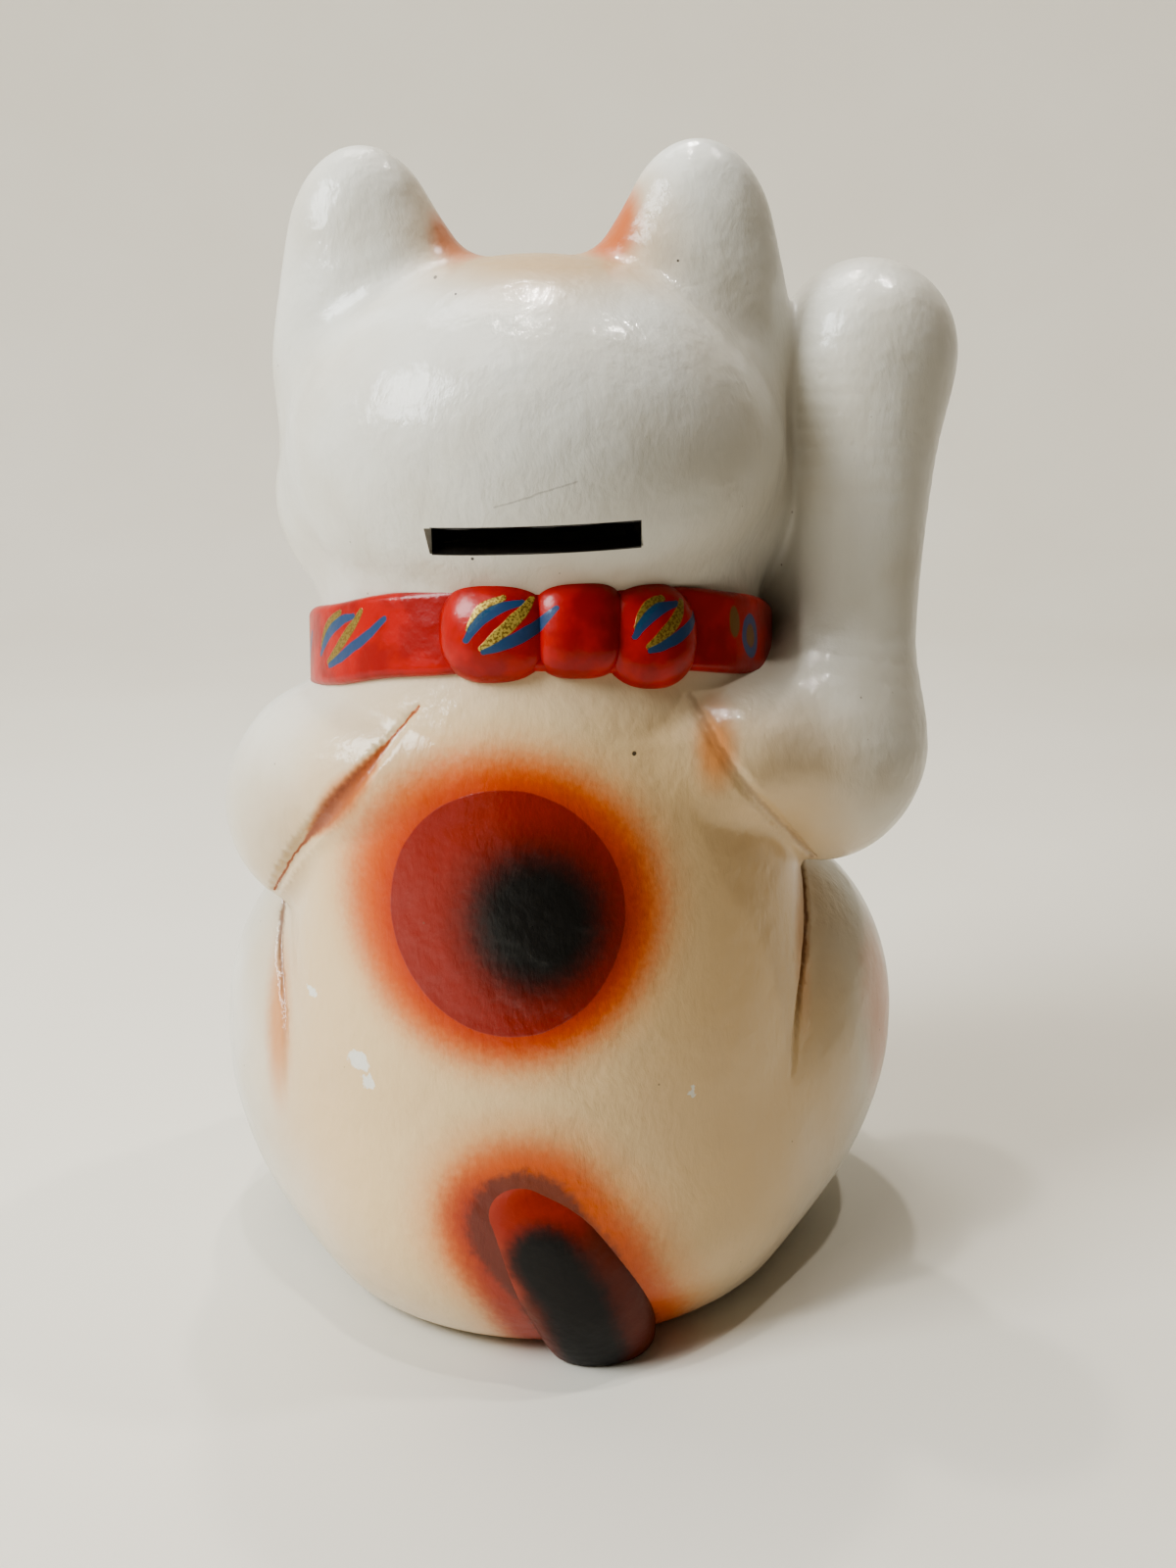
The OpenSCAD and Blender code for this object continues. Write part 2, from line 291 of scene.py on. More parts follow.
def on_back(x, z):
    """The points of the back that lie at x, z"""
    low, high = np.zeros(len(x)), np.full(len(x), 90.0)
    for _ in range(24):
        y = (low + high) / 2
        outside = white_body(np.array([x, y, z])) > 0
        high = np.where(outside, y, high)
        low = np.where(outside, low, y)
    return np.array([x, high, z])


# Creases of the back: each is a line of (x, z, half width, depth)
CREASES = [
    [
        (24, 138.7, 0.4, 0.2), (31, 131, 1.4, 0.9), (41.6, 119, 2.0, 1.3),
        (54, 103.5, 1.5, 1.2), (61, 92, 0.9, 1.0),
    ],
    [(61.8, 90, 0.8, 1.2), (62, 78, 0.8, 1.2), (59.5, 65, 0.9, 0.9), (58.5, 50, 0.8, 0.1)],
    [(-31, 139, 0.8, 0.1), (-39, 125.5, 1.4, 0.6), (-50, 110, 1.2, 0.8), (-59.3, 97.5, 0.8, 1.0)],
    [(-59.8, 95, 0.8, 1.1), (-59, 81, 0.8, 1.3), (-55.5, 67, 0.8, 1.0), (-53.2, 53, 0.7, 0.1)],
]


def crease_lines():
    """Each crease as points and radii of the round groove that cuts its width and depth into the back"""
    lines = []
    for stations in CREASES:
        x, z, half, depth = np.array([along(stations, i / 16) for i in range(17)]).T
        points = on_back(x, z)
        outward, _ = gradient(white_body, points)
        radius = (half**2 + depth**2) / (2 * np.maximum(depth, 0.05))
        lines.append(list(zip((points + outward * (radius - depth)).T, radius)))
    return lines


BASE_MIDDLE = (0, 4)
RECESS_R = 41.9
RECESS_H = 4.0
HOLE_R = 19.0


def carve_recess(field, p):
    radius = np.hypot(p[0] - BASE_MIDDLE[0], p[1] - BASE_MIDDLE[1])
    return cut(field, np.maximum(radius - RECESS_R, p[2] - RECESS_H), 1)


def carve_creases(field, p):
    grooves = np.full(field.shape, 1e9)
    for nodes in CREASE_LINES:
        for (a, ra), (b, rb) in zip(nodes, nodes[1:]):
            d = b - a
            t = np.clip(sum((p[i] - a[i]) * d[i] for i in range(3)) / (d @ d), 0, 1)
            gap = sum((p[i] - a[i] - t * d[i]) ** 2 for i in range(3))
            grooves = np.minimum(grooves, np.sqrt(gap) - ra - t * (rb - ra))
    return cut(field, grooves, 0.8)


def body(p):
    field = inside_box(white_body(p), p, (-90, -5, 35), (90, 80, 150), carve_creases)
    return inside_box(field, p, (-60, -60, -10), (60, 70, 12), carve_recess)


# ---------------------------------------------------------------- relief pieces

def collar_band(p):
    arc, height, out = collar_place(p)
    edge = 1.7
    wave = 0.25 * np.sin(arc / 9) + 0.2 * np.sin(arc / 5 + 1)
    u = np.abs(out - 0.75) - (COLLAR_T - 0.75 - edge)
    v = np.abs(height - wave) - (COLLAR_H / 2 - 0.4 - edge)
    return rounded(u, v, edge)


def pad(p, middle, half_w, half_h, drop, power, rise):
    """Cushion on the collar: half sizes along the arc and up, and how far it rises from the neck"""
    arc, height, out = collar_place(p)
    across = np.abs((arc - middle) / half_w) ** power + np.abs((height + drop) / half_h) ** power
    shape = np.sqrt(across ** (2 / power) + ((out - 1) / (rise - 1)) ** 2)
    return (shape - 1) * min(rise - 1, half_w)


def bow_loop_left(p):
    return pad(p, 8.4, 11.4, 10.5, 0.1, 2.5, 7.6)


def bow_knot(p):
    return pad(p, -8.6, 9.4, 10.3, -0.2, 3.0, 7.6)


def bow_loop_right(p):
    return pad(p, -23.8, 10.8, 10.9, 1.3, 2.4, 7.4)


# The tail: stations of (x, y, z, half width), and how many times wider than thick it is
TAIL = [
    (4.5, 63.4, 35, 11), (-1, 65.2, 27.5, 12.4), (-6, 64.8, 18.5, 12.6),
    (-9, 61.5, 9.5, 12.4), (-10.5, 56.5, 3.5, 11.5),
]
TAIL_FLAT = 1.8


def tail(p):
    """Flattened ridge that runs down the back to the ground"""
    flat = np.array([p[0], p[1] * TAIL_FLAT, p[2]])
    ridge = limb(flat, [(x, y * TAIL_FLAT, z, r) for x, y, z, r in TAIL])
    return np.maximum(ridge / TAIL_FLAT, 0.4 - p[2])


BELL = (0, -52.5, 123.9)
BELL_R = 10.0


def bell(p):
    q = [p[i] - BELL[i] for i in range(3)]
    centre = np.sqrt(q[0] ** 2 + q[1] ** 2 + q[2] ** 2)
    ring = np.hypot(q[0], q[1])
    belt = np.hypot(np.maximum(np.abs(ring - BELL_R) - 0.2, 0), np.maximum(np.abs(q[2]) - 0.5, 0)) - 0.5
    field = merge(centre - BELL_R + 0.5, belt, 0.8)
    slit = np.maximum(np.abs(q[0]) - 0.9, q[2] + 4.5)
    hole = np.hypot(q[0], q[2] + 4.2) - 1.9
    opening = np.maximum(np.minimum(slit, hole), q[1] - 3)
    field = cut(field, opening, 0.5)
    field = np.maximum(field, BELL_R - 1.7 - centre)
    eyelet = np.hypot(np.hypot(q[1] - 1, q[2] - BELL_R - 0.6) - 2.2, q[0]) - 0.8
    return merge(field, eyelet, 0.5)


KOBAN_HALF_W = 18.0
KOBAN_HALF_H = 27.0
KOBAN_T = 6.0
KOBAN_EDGE = 1.2
KOBAN_X = 4.0
KOBAN_Z = 76.0


def chest_front(z):
    """How far the chest stands in front of the body's axis at a height"""
    low, high = 0.0, 90.0
    for _ in range(24):
        y = (low + high) / 2
        if torso(np.array([[0.0], [-y], [z]]))[0] > 0:
            high = y
        else:
            low = y
    return high


def koban_frame():
    """Middle of the coin's back, its direction upward and its direction out of the chest"""
    step = KOBAN_HALF_H / 2
    rise = chest_front(KOBAN_Z - step) - chest_front(KOBAN_Z + step)
    lean = math.atan(rise / (2 * step))
    middle = np.array([KOBAN_X, 1 - chest_front(KOBAN_Z), KOBAN_Z])
    up = np.array([0, math.sin(lean), math.cos(lean)])
    out = np.array([0, -math.cos(lean), math.sin(lean)])
    return middle, up, out


def koban(p):
    middle, up, front = KOBAN
    x = p[0] - middle[0]
    y = sum((p[i] - middle[i]) * up[i] for i in range(3))
    out = sum((p[i] - middle[i]) * front[i] for i in range(3))
    share = np.sqrt((x / KOBAN_HALF_W) ** 2 + (y / KOBAN_HALF_H) ** 2)
    edge = (share - 1) * KOBAN_HALF_W
    hatch = 0.35 * smooth_step(0.2, 0.8, np.abs(np.sin(math.pi * (y + 0.6 * np.sin(x / 3)) / 2.6)))
    oval = np.hypot(x, y * 0.8)
    boss = 0.8 * smooth_step(7.2, 6.2, oval) - 0.5 * smooth_step(4.6, 3.8, oval)
    inner = smooth_step(-2.2, -3.2, edge)
    top = KOBAN_T - inner * (1.4 - hatch * (boss < 0.05) - boss)
    return rounded(edge + KOBAN_EDGE, np.abs(out - (top - 4) / 2) - (top + 4) / 2 + KOBAN_EDGE, KOBAN_EDGE)


PLUG_R = 18.9
FLANGE_R = 24.0


def stopper(p):
    radius = np.hypot(p[0], p[1])
    ribs = 0.35 * np.cos(2 * math.pi * (p[2] - 6) / 2.6)
    taper = 0.5 * smooth_step(9, 12, p[2])
    side = radius - PLUG_R + 0.35 + taper - ribs * smooth_step(4.5, 5.5, p[2])
    plug = np.maximum(side, np.abs(p[2] - 7.5) - 4.4)
    flange_edge = 0.8
    u = radius - FLANGE_R + flange_edge
    v = np.abs(p[2] - 3) - 1 + flange_edge
    flange = rounded(u, v, flange_edge)
    field = merge(plug, flange, 1)
    field = cut(field, np.hypot(np.abs(radius - 20.5), p[2] - 1.7) - 0.7, 0.3)
    field = cut(field, ellipsoid(p, (0, 0, 1.2), (12, 12, 3.2)), 0.8)
    grip = np.maximum(np.hypot(p[1], (p[2] - 3.2) * 0.9) - 2.2, np.abs(p[0]) - 12)
    grip = np.maximum(grip, 1.2 - p[2])
    field = merge(field, grip, 0.8)
    return cut(field, ellipsoid(p, (0, 0, 13), (15, 15, 5)), 1)


# ---------------------------------------------------------------- meshing

def gradient(field, p, step=0.15):
    """Unit normal and length of the slope of a field"""
    slope = np.empty_like(p)
    for i in range(3):
        shift = np.zeros((3, 1))
        shift[i] = step
        slope[i] = (field(p + shift) - field(p - shift)) / (2 * step)
    size = np.maximum(np.linalg.norm(slope, axis=0), 1e-6)
    return slope / size, size


def sample(field, low, high, step):
    """Values of a field on a grid, worked out only in the blocks near its surface"""
    block = 6
    count = [int(math.ceil((high[i] - low[i]) / step / block)) + 1 for i in range(3)]
    middle = [low[i] + (np.arange(count[i]) + 0.5) * block * step for i in range(3)]
    coarse = field(np.array(np.meshgrid(*middle, indexing="ij")))
    values = np.sign(coarse) * 4 * step
    for axis in range(3):
        values = np.repeat(values, block, axis)
    near = np.argwhere(np.abs(coarse) < block * step * 1.3)
    local = np.argwhere(np.ones((block, block, block)))
    for part in np.array_split(near, max(1, len(near) // 1500)):
        index = (part[:, None, :] * block + local[None, :, :]).reshape(-1, 3).T
        point = np.array(low)[:, None] + index * step
        values[index[0], index[1], index[2]] = field(point)
    return values


def skin(field, low, high, step):
    """Triangle skin of a field: points, outward normals and triangles, in millimetres"""
    values = sample(field, low, high, step).astype(np.float32)
    grid = openvdb.FloatGrid(4 * step)
    grid.copyFromArray(values)
    points, triangles, quads = grid.convertToPolygons(0.0, 0.0)
    quads = quads.astype(np.int64)
    triangles = np.vstack([triangles.astype(np.int64), quads[:, [0, 1, 2]], quads[:, [0, 2, 3]]])
    p = points.T.astype(float) * step + np.array(low)[:, None]
    for _ in range(3):
        normal, size = gradient(field, p)
        p -= normal * np.clip(field(p) / size, -step, step)
    normal, _ = gradient(field, p)
    a, b, c = (p[:, triangles[:, i]] for i in range(3))
    facing = (np.cross((b - a).T, (c - a).T) * normal[:, triangles[:, 0]].T).sum(1)
    if facing.sum() < 0:
        triangles = triangles[:, ::-1]
    return p.T, normal.T, triangles


def tidy(points, normals, triangles):
    """The same skin without the points that no triangle uses"""
    used, index = np.unique(triangles, return_inverse=True)
    return points[used], normals[used], index.reshape(triangles.shape)


def split(mesh, value):
    """The two parts of a skin where value < 0 and value > 0, cut exactly along value = 0"""
    points, normals, triangles = mesh
    value = np.where(np.abs(value) < 0.02, 0.02, value)
    return [one_side(points, normals, triangles, side * value) for side in (1, -1)]


def one_side(points, normals, triangles, value):
    """The part of a skin where value < 0, with its edge triangles cut along value = 0"""
    inside = value[triangles] < 0
    count = inside.sum(1)
    whole = triangles[count == 3]
    mixed = triangles[(count == 1) | (count == 2)]
    if not len(mixed):
        return tidy(points, normals, whole)
    flags = value[mixed] < 0
    lone_inside = flags.sum(1) == 1
    lone = np.argmax(flags == lone_inside[:, None], axis=1)
    rows = np.arange(len(mixed))
    a = mixed[rows, lone]
    b = mixed[rows, (lone + 1) % 3]
    c = mixed[rows, (lone + 2) % 3]
    ends = np.sort(np.vstack([np.stack([a, b], 1), np.stack([a, c], 1)]), axis=1)
    edges, index = np.unique(ends, axis=0, return_inverse=True)
    index = index.reshape(-1)
    share = (value[edges[:, 0]] / (value[edges[:, 0]] - value[edges[:, 1]]))[:, None]
    cut_points = points[edges[:, 0]] * (1 - share) + points[edges[:, 1]] * share
    cut_normals = normals[edges[:, 0]] * (1 - share) + normals[edges[:, 1]] * share
    cut_normals /= np.linalg.norm(cut_normals, axis=1)[:, None]
    ab = index[: len(mixed)] + len(points)
    ac = index[len(mixed):] + len(points)
    one = lone_inside
    two = ~lone_inside
    faces = np.vstack([
        whole,
        np.stack([a[one], ab[one], ac[one]], 1),
        np.stack([ab[two], b[two], c[two]], 1),
        np.stack([ab[two], c[two], ac[two]], 1),
    ])
    return tidy(np.vstack([points, cut_points]), np.vstack([normals, cut_normals]), faces)


def solid(name, mesh, wall):
    """Closed wall of a thickness behind a skin, as a Blender object"""
    points, normals, triangles = mesh
    count = len(points)
    forward = np.vstack([triangles[:, [0, 1]], triangles[:, [1, 2]], triangles[:, [2, 0]]])
    keys = forward[:, 0] * count + forward[:, 1]
    back = forward[:, 1] * count + forward[:, 0]
    rim = forward[~np.isin(keys, back)]
    inner = points - normals * wall
    edge = np.vstack([
        np.stack([rim[:, 1], rim[:, 0], rim[:, 0] + count], 1),
        np.stack([rim[:, 1], rim[:, 0] + count, rim[:, 1] + count], 1),
    ])
    faces = np.vstack([triangles, triangles[:, ::-1] + count, edge])
    every = np.vstack([points, inner])
    shade = np.vstack([normals, -normals])
    loops = shade[faces].copy()
    a, b, c = (every[edge[:, i]] for i in range(3))
    flat = np.cross(b - a, c - a)
    flat /= np.maximum(np.linalg.norm(flat, axis=1), 1e-12)[:, None]
    loops[len(faces) - len(edge):] = flat[:, None, :]
    return make(name, every, faces, loops.reshape(-1, 3))


def make(name, points, faces, loop_normals):
    """Blender object of triangles, with nothing below the ground"""
    data = bpy.data.meshes.new(name)
    points = points.copy()
    points[:, 2] = np.maximum(points[:, 2], 0.0)
    data.vertices.add(len(points))
    data.vertices.foreach_set("co", (points * MM).ravel())
    data.loops.add(len(faces) * 3)
    data.loops.foreach_set("vertex_index", faces.ravel())
    data.polygons.add(len(faces))
    data.polygons.foreach_set("loop_start", np.arange(0, len(faces) * 3, 3))
    data.polygons.foreach_set("use_smooth", np.ones(len(faces), bool))
    data.update(calc_edges=True)
    data.validate()
    data.normals_split_custom_set(loop_normals)
    thing = bpy.data.objects.new(name, data)
    bpy.context.collection.objects.link(thing)
    return thing


def join(parts):
    """Meshes put together, with their shared points made one"""
    start = np.cumsum([0] + [len(part[0]) for part in parts])
    points = np.vstack([part[0] for part in parts])
    normals = np.vstack([part[1] for part in parts])
    triangles = np.vstack([part[2] + start[i] for i, part in enumerate(parts)])
    keys = np.round(points * 1e4).astype(np.int64)
    _, first, index = np.unique(keys, axis=0, return_index=True, return_inverse=True)
    triangles = index.reshape(-1)[triangles]
    distinct = (triangles[:, 0] != triangles[:, 1]) & (triangles[:, 1] != triangles[:, 2])
    distinct &= triangles[:, 2] != triangles[:, 0]
    return points[first], normals[first], triangles[distinct]


def score(mesh, value_of):
    """The same skin, with edges along the line where value_of(points) = 0"""
    return join(split(mesh, value_of(mesh[0].T)))


SLOT_LEFT, SLOT_RIGHT = 20.3, -21.7
SLOT_LOW, SLOT_HIGH = 170.1, 175.3
SLOT_TILT = -0.014


def cut_slot(mesh):
    """Takes the coin slot out of the back of the head"""
    edges = [
        lambda p: p[0] - SLOT_LEFT - 0.15 * (p[2] - SLOT_LOW),
        lambda p: SLOT_RIGHT - p[0] + 0.12 * (p[2] - SLOT_LOW),
        lambda p: p[2] - SLOT_HIGH - SLOT_TILT * p[0] - 0.12 * np.sin(p[0] / 3) - 0.08 * np.sin(p[0] / 1.3),
        lambda p: SLOT_LOW + SLOT_TILT * p[0] - p[2] + 0.1 * np.sin(p[0] / 4 + 1),
    ]
    for edge in edges:
        mesh = score(mesh, edge)
    points, normals, triangles = mesh
    middle = points[triangles].mean(1).T
    within = np.all([edge(middle) < 0 for edge in edges], axis=0) & (middle[1] > 0)
    return tidy(points, normals, triangles[~within])


# Grid steps of the white castings and of the small pieces, and the castings' wall
STEP = 1.25
FINE = 0.7
WALL = 4.0
CREASE_LINES = crease_lines()
KOBAN = koban_frame()


def sculpt_white():
    """The white pieces, each cut from one continuous skin where it meets its neighbours"""
    rest = skin(body, (-100, -80, -8), (90, 82, 260), STEP)
    parts = {}
    for name in ("raised_arm", "left_arm", "left_foot", "right_foot"):
        p = rest[0].T
        others = np.min([WHITE_PIECES[other](p) for other in WHITE_PIECES if other != name], axis=0)
        parts[name], rest = split(rest, WHITE_PIECES[name](p) - others)
    parts["torso"], parts["head"] = split(rest, above_neck(rest[0].T))
    parts["head"] = cut_slot(parts["head"])
    x, y, _ = parts["torso"][0].T
    _, parts["torso"] = split(parts["torso"], np.hypot(x, y) - HOLE_R)
    return parts


# Small pieces: field, box round it, and grid step as a share of FINE
RELIEF = {
    "tail": (tail, (-28, 40, -3), (22, 78, 52), 1.0),
    "collar_band": (collar_band, (-58, -56, 112), (58, 56, 174), 1.15),
    "bow_loop_left": (bow_loop_left, (-6, 34, 138), (24, 58, 172), 0.9),
    "bow_knot": (bow_knot, (-22, 34, 138), (4, 58, 172), 0.9),
    "bow_loop_right": (bow_loop_right, (-40, 28, 134), (-10, 58, 170), 0.9),
    "bell": (bell, (-13, -65, 111), (13, -40, 140), 0.6),
    "koban": (koban, (-16, -80, 46), (24, -48, 106), 0.8),
    "stopper": (stopper, (-26, -26, -1), (26, 26, 14), 0.9),
}


# ---------------------------------------------------------------- materials

def rgb(red, green, blue):
    """Linear colour from the 0 to 255 values that a screen shows"""
    shares = (v / 255 for v in (red, green, blue))
    return tuple(((v + 0.055) / 1.055) ** 2.4 if v > 0.04 else v / 12.92 for v in shares)


class Paint:
    """One material: its shader, and sockets that paint marks by the place on the figure, in millimetres"""

    def __init__(self, name, roughness, shine=0.5, coat=0.0, coat_roughness=0.1, metallic=0.0):
        self.material = bpy.data.materials.new(name)
        self.material.use_nodes = True
        self.tree = self.material.node_tree
        self.shader = self.tree.nodes["Principled BSDF"]
        self.shader.inputs["Roughness"].default_value = roughness
        self.shader.inputs["Specular IOR Level"].default_value = shine
        self.shader.inputs["Coat Weight"].default_value = coat
        self.shader.inputs["Coat Roughness"].default_value = coat_roughness
        self.shader.inputs["Metallic"].default_value = metallic
        place = self.tree.nodes.new("ShaderNodeTexCoord").outputs["Object"]
        self.place = self.vector("SCALE", place, scale=1 / MM)
        self.x, self.y, self.z = self.parts(self.place)

    def connect(self, value, socket):
        if isinstance(value, bpy.types.NodeSocket):
            self.tree.links.new(value, socket)
        else:
            socket.default_value = value

    def math(self, operation, *values, clamp=False):
        node = self.tree.nodes.new("ShaderNodeMath")
        node.operation = operation
        node.use_clamp = clamp
        for value, socket in zip(values, node.inputs):
            self.connect(value, socket)
        return node.outputs[0]

    def vector(self, operation, *values, scale=None):
        node = self.tree.nodes.new("ShaderNodeVectorMath")
        node.operation = operation
        for value, socket in zip(values, node.inputs):
            self.connect(value, socket)
        if scale is not None:
            self.connect(scale, node.inputs["Scale"])
        return node.outputs["Value" if operation in ("LENGTH", "DOT_PRODUCT") else "Vector"]

    def parts(self, vector):
        node = self.tree.nodes.new("ShaderNodeSeparateXYZ")
        self.connect(vector, node.inputs[0])
        return node.outputs

    def combine(self, x, y, z):
        node = self.tree.nodes.new("ShaderNodeCombineXYZ")
        for value, socket in zip((x, y, z), node.inputs):
            self.connect(value, socket)
        return node.outputs[0]

    def noise(self, size, detail=2.0, vector=None, roughness=0.5):
        """Noise from 0 to 1 whose blotches are about size millimetres across"""
        node = self.tree.nodes.new("ShaderNodeTexNoise")
        node.inputs["Scale"].default_value = 1 / size
        node.inputs["Detail"].default_value = detail
        node.inputs["Roughness"].default_value = roughness
        self.connect(vector or self.place, node.inputs["Vector"])
        return node.outputs["Fac"]

    def fade(self, value, full, none, top=1.0):
        """Mask: top where value is at full, falling smoothly to 0 at none"""
        node = self.tree.nodes.new("ShaderNodeMapRange")
        node.interpolation_type = "SMOOTHSTEP"
        self.connect(value, node.inputs["Value"])
        low, high, start, end = (full, none, top, 0.0) if full < none else (none, full, 0.0, top)
        for name, number in (("From Min", low), ("From Max", high), ("To Min", start), ("To Max", end)):
            node.inputs[name].default_value = number
        return node.outputs["Result"]

    def mix(self, under, over, mask):
        node = self.tree.nodes.new("ShaderNodeMix")
        node.data_type = "RGBA"
        self.connect(mask, node.inputs[0])
        for value, socket in ((under, node.inputs[6]), (over, node.inputs[7])):
            self.connect(value if isinstance(value, bpy.types.NodeSocket) else (*value, 1), socket)
        return node.outputs[2]

    def both(self, a, b):
        return self.math("MULTIPLY", a, b)

    def lump(self, centre, radii, vector=None):
        """Distance from a centre as a share of three radii; a radius of None leaves that direction out"""
        away = self.vector("SUBTRACT", vector or self.place, centre)
        share = tuple(0.0 if r is None else 1 / r for r in radii)
        return self.vector("LENGTH", self.vector("MULTIPLY", away, share))

    def stroke(self, a, b, vector=None):
        """Distance in the X-Z plane from the line between a and b, in millimetres"""
        d = (b[0] - a[0], 0.0, b[1] - a[1])
        flat = self.vector("MULTIPLY", vector or self.place, (1.0, 0.0, 1.0))
        away = self.vector("SUBTRACT", flat, (a[0], 0.0, a[1]))
        size = d[0] ** 2 + d[2] ** 2
        t = self.math("DIVIDE", self.vector("DOT_PRODUCT", away, d), size, clamp=True)
        return self.vector("LENGTH", self.vector("SUBTRACT", away, self.vector("SCALE", d, scale=t)))

    def dab(self, a, b, bend, width, vector):
        """Mask of one curved brush stroke from a to b in the X-Z plane, thinner at its ends"""
        d = (b[0] - a[0], 0.0, b[1] - a[1])
        size = math.hypot(d[0], d[2])
        aside = (-d[2] * bend / size, 0.0, d[0] * bend / size)
        flat = self.vector("MULTIPLY", vector, (1.0, 0.0, 1.0))
        away = self.vector("SUBTRACT", flat, (a[0], 0.0, a[1]))
        t = self.math("DIVIDE", self.vector("DOT_PRODUCT", away, d), size**2, clamp=True)
        arch = self.math("MULTIPLY", self.math("MULTIPLY", t, self.math("SUBTRACT", 1.0, t)), 4.0)
        bow = self.vector("SCALE", aside, scale=arch)
        spine = self.vector("ADD", self.vector("SCALE", d, scale=t), bow)
        away = self.vector("LENGTH", self.vector("SUBTRACT", away, spine))
        radius = self.math("MULTIPLY_ADD", arch, width * 0.5, width * 0.5)
        return self.fade(self.math("DIVIDE", away, radius), 0.85, 1.1, 0.94)

    def line(self, points, vector=None):
        """Distance from a bent line through points (x, z)"""
        near = self.stroke(points[0], points[1], vector)
        for a, b in zip(points[1:], points[2:]):
            near = self.math("MINIMUM", near, self.stroke(a, b, vector))
        return near

    def shaken(self, size, amount, vector=None):
        """The place, moved about a little, for the wandering edges of hand painting"""
        node = self.tree.nodes.new("ShaderNodeTexNoise")
        node.inputs["Scale"].default_value = 1 / size
        node.inputs["Detail"].default_value = 2.0
        self.connect(vector or self.place, node.inputs["Vector"])
        shift = self.vector("SUBTRACT", node.outputs["Color"], (0.5, 0.5, 0.5))
        return self.vector("ADD", vector or self.place, self.vector("SCALE", shift, scale=amount))

    def bump(self, height, depth, previous=None):
        """Adds relief: height from 0 to 1 stands for depth millimetres"""
        node = self.tree.nodes.new("ShaderNodeBump")
        node.inputs["Strength"].default_value = 1.0
        node.inputs["Distance"].default_value = depth * MM
        self.connect(height, node.inputs["Height"])
        if previous is not None:
            self.connect(previous, node.inputs["Normal"])
        return node.outputs["Normal"]

    def over(self, colour, pigment, where, *fade):
        """Colour with a pigment laid over it where a field is low, kept to one region"""
        return self.mix(colour, pigment, self.both(self.fade(*fade), where))

    def finish(self, colour, normal=None, roughness=None, metallic=None):
        self.connect(colour, self.shader.inputs["Base Color"])
        sockets = {"Normal": normal, "Coat Normal": normal, "Roughness": roughness, "Metallic": metallic}
        for name, value in sockets.items():
            if value is not None:
                self.connect(value, self.shader.inputs[name])
        return self.material


ORANGE = rgb(194, 78, 10)
DEEP_ORANGE = rgb(172, 50, 6)
DISC_RED = rgb(134, 30, 16)
CREASE_SHADE_BROWN = rgb(158, 80, 44)
PEACH = rgb(206, 128, 62)
BLACK = (0.004, 0.004, 0.004)


def paint_back_spot(paint, colour, back):
    """Airbrushed orange halo, a crisp translucent red disc and a black core"""
    rough_edge = paint.shaken(1.2, 2.5)
    wide = paint.lump((8.0, 0, 100.0), (36.0, None, 34.0), rough_edge)
    colour = paint.over(colour, PEACH, back, wide, 0.74, 1.15, 0.85)
    colour = paint.over(colour, ORANGE, back, wide, 0.72, 1.03, 0.95)
    near = paint.lump((6.5, 0, 99.4), (27.0, None, 26.5), rough_edge)
    colour = paint.over(colour, DEEP_ORANGE, back, near, 0.85, 1.12)
    disc = paint.lump((7.2, 0, 99.6), (24.0, None, 24.3), paint.shaken(14, 1.0))
    inside = paint.both(paint.fade(disc, 0.985, 1.0), back)
    colour = paint.mix(colour, DISC_RED, inside)
    rim = paint.both(paint.fade(disc, 1.0, 0.985), inside)
    colour = paint.mix(colour, rgb(120, 36, 26), paint.both(rim, 0.7))
    core = paint.lump((0.8, 0, 98.2), (20.0, None, 20.5), rough_edge)
    colour = paint.over(colour, rgb(72, 14, 6), back, core, 0.5, 1.12, 0.95)
    colour = paint.over(colour, BLACK, back, core, 0.40, 0.82)
    return colour, inside


def paint_crease_tint_and_shade(paint, colour, back):
    """Brown along the left shoulder's crease, peach beside the others, a thin dark line in the last three;
    the brown and the dark lines are painted shade in the creases
    """
    soft_edge = paint.shaken(2.0, 1.0)
    lines = [paint.line([station[:2] for station in crease], soft_edge) for crease in CREASES]
    middle = paint.fade(paint.lump((41, 0, 119), (17, None, 19)), 0.0, 1.0)
    reach = paint.math("DIVIDE", lines[0], paint.math("MULTIPLY_ADD", middle, 3.4, 0.3))
    colour = paint.over(colour, PEACH, back, reach, 0.5, 1.6, 0.75)
    # Painted shade: brown down the left shoulder's crease
    colour = paint.over(colour, CREASE_SHADE_BROWN, back, reach, 0.25, 1.1, 0.95)
    for centre, radii, strength in (
        ((-36, 0, 129), (6, None, 11), 0.8),
        ((61, 0, 62), (4.5, None, 20), 0.75),
        ((-57, 0, 78), (3, None, 22), 0.35),
    ):
        side = paint.lump(centre, radii, soft_edge)
        colour = paint.over(colour, PEACH, back, side, 0.2, 1.1, strength)
    # Painted shade: a thin dark line down each of the last three creases, fading out low on the back
    high = paint.fade(paint.z, 80, 56)
    for near, strength in zip(lines[1:], (0.8, 0.35, 0.85)):
        mask = paint.both(paint.fade(near, 0.1, 0.9, strength), high)
        colour = paint.mix(colour, rgb(120, 78, 52), paint.both(mask, back))
    return colour


def paint_chips(paint, colour, back):
    """Small places where the cream coat has flaked to the white below"""
    torn = paint.shaken(1.5, 3.0)
    chips = [(39.5, 65, 3.0, 2.2), (37.5, 61, 1.6, 1.8), (51, 74.5, 1.4, 1.2), (-30, 60, 0.9, 1.2)]
    for x, z, wide, high in chips:
        chip = paint.lump((x, 0, z), (wide, None, high), torn)
        colour = paint.over(colour, rgb(226, 226, 218), back, chip, 0.75, 1.0, 0.85)
    return colour


